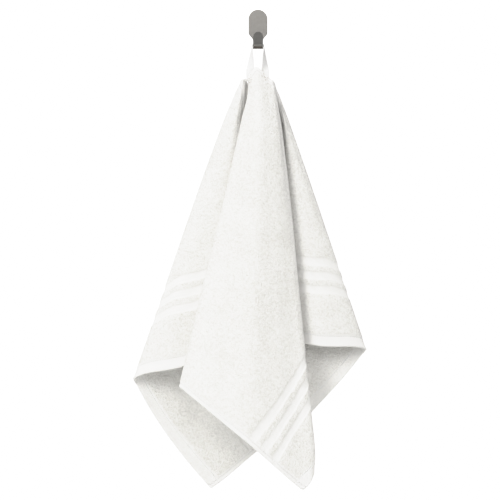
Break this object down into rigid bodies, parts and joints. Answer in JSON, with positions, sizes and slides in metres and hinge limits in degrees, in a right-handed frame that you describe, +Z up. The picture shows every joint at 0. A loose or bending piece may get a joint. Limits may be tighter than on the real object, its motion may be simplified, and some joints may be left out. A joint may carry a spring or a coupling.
{
  "type": "hand towel on wall hook",
  "caption": "White terry hand towel with banded ends, hung by its tape loop in soft folds from a plain bent metal wall hook.",
  "frame": {"origin": "on the wall plane, on the hook's flat back face, 20 mm below the hook's top and midway across it", "axes": "+X to the right for someone who faces the wall, +Y into the wall, +Z up"},
  "size_m": [0.2914, 0.1056, 0.6013],
  "materials": {
    "terry": "looped cotton pile, flat woven bands and hems",
    "tape": "flat woven cotton tape",
    "hook_metal": "satin"
  },
  "bodies": {
    "root": {"towel": "terry", "hanging_loop": "tape", "wall_hook": "hook_metal"}
  },
  "joints": []
}
